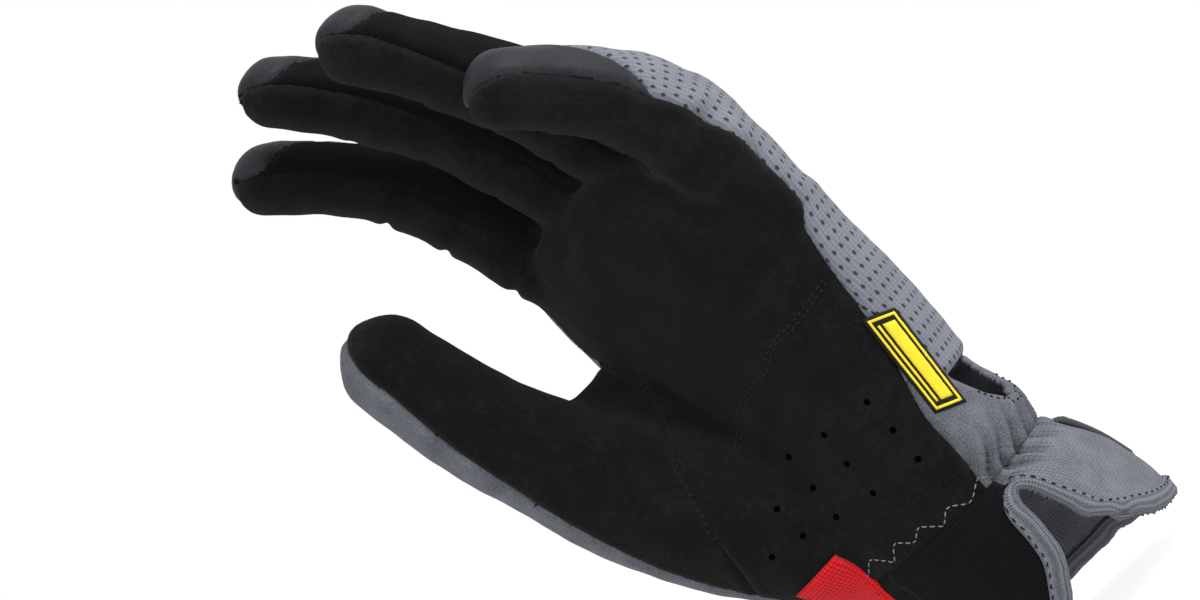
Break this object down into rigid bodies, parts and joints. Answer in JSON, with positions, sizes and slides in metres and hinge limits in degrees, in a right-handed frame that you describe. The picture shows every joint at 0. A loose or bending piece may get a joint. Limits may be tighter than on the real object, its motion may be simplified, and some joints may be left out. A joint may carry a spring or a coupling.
{
  "type": "mechanic glove",
  "caption": "Left-hand work glove with a dark suede palm, grey knit back, gathered wrist over a keyhole opening, and a short flared cuff with a bound, notched hem.",
  "frame": {"origin": "centre of the cuff mouth, in the plane of the palm side's hem, where the hand goes in", "axes": "+Z from the cuff to the fingertips, -Y the way the palm faces, -X towards the thumb"},
  "size_m": [0.111, 0.0981, 0.2374],
  "materials": {
    "suede": "black synthetic suede",
    "twill": "black stretch twill",
    "knit": "grey ribbed knit",
    "leather": "smooth charcoal synthetic leather",
    "red": "red woven webbing",
    "tag": "black woven or moulded trim"
  },
  "bodies": {
    "root": {"palm_panel": "suede", "thumb_front": "suede", "side_strip_index_middle": "twill", "side_strip_middle_ring": "twill", "side_strip_ring_pinky": "twill", "tip_index": "leather", "tip_middle": "leather", "tip_ring": "leather", "tip_pinky": "leather", "thumb_back": "knit", "wrist_panel": "knit", "back_panel": "knit", "cuff_palm": "twill", "cuff_back": "knit", "hem_binding": "knit", "side_label": "tag", "pull_tab": "red", "cuff_badge": "tag"}
  },
  "joints": []
}
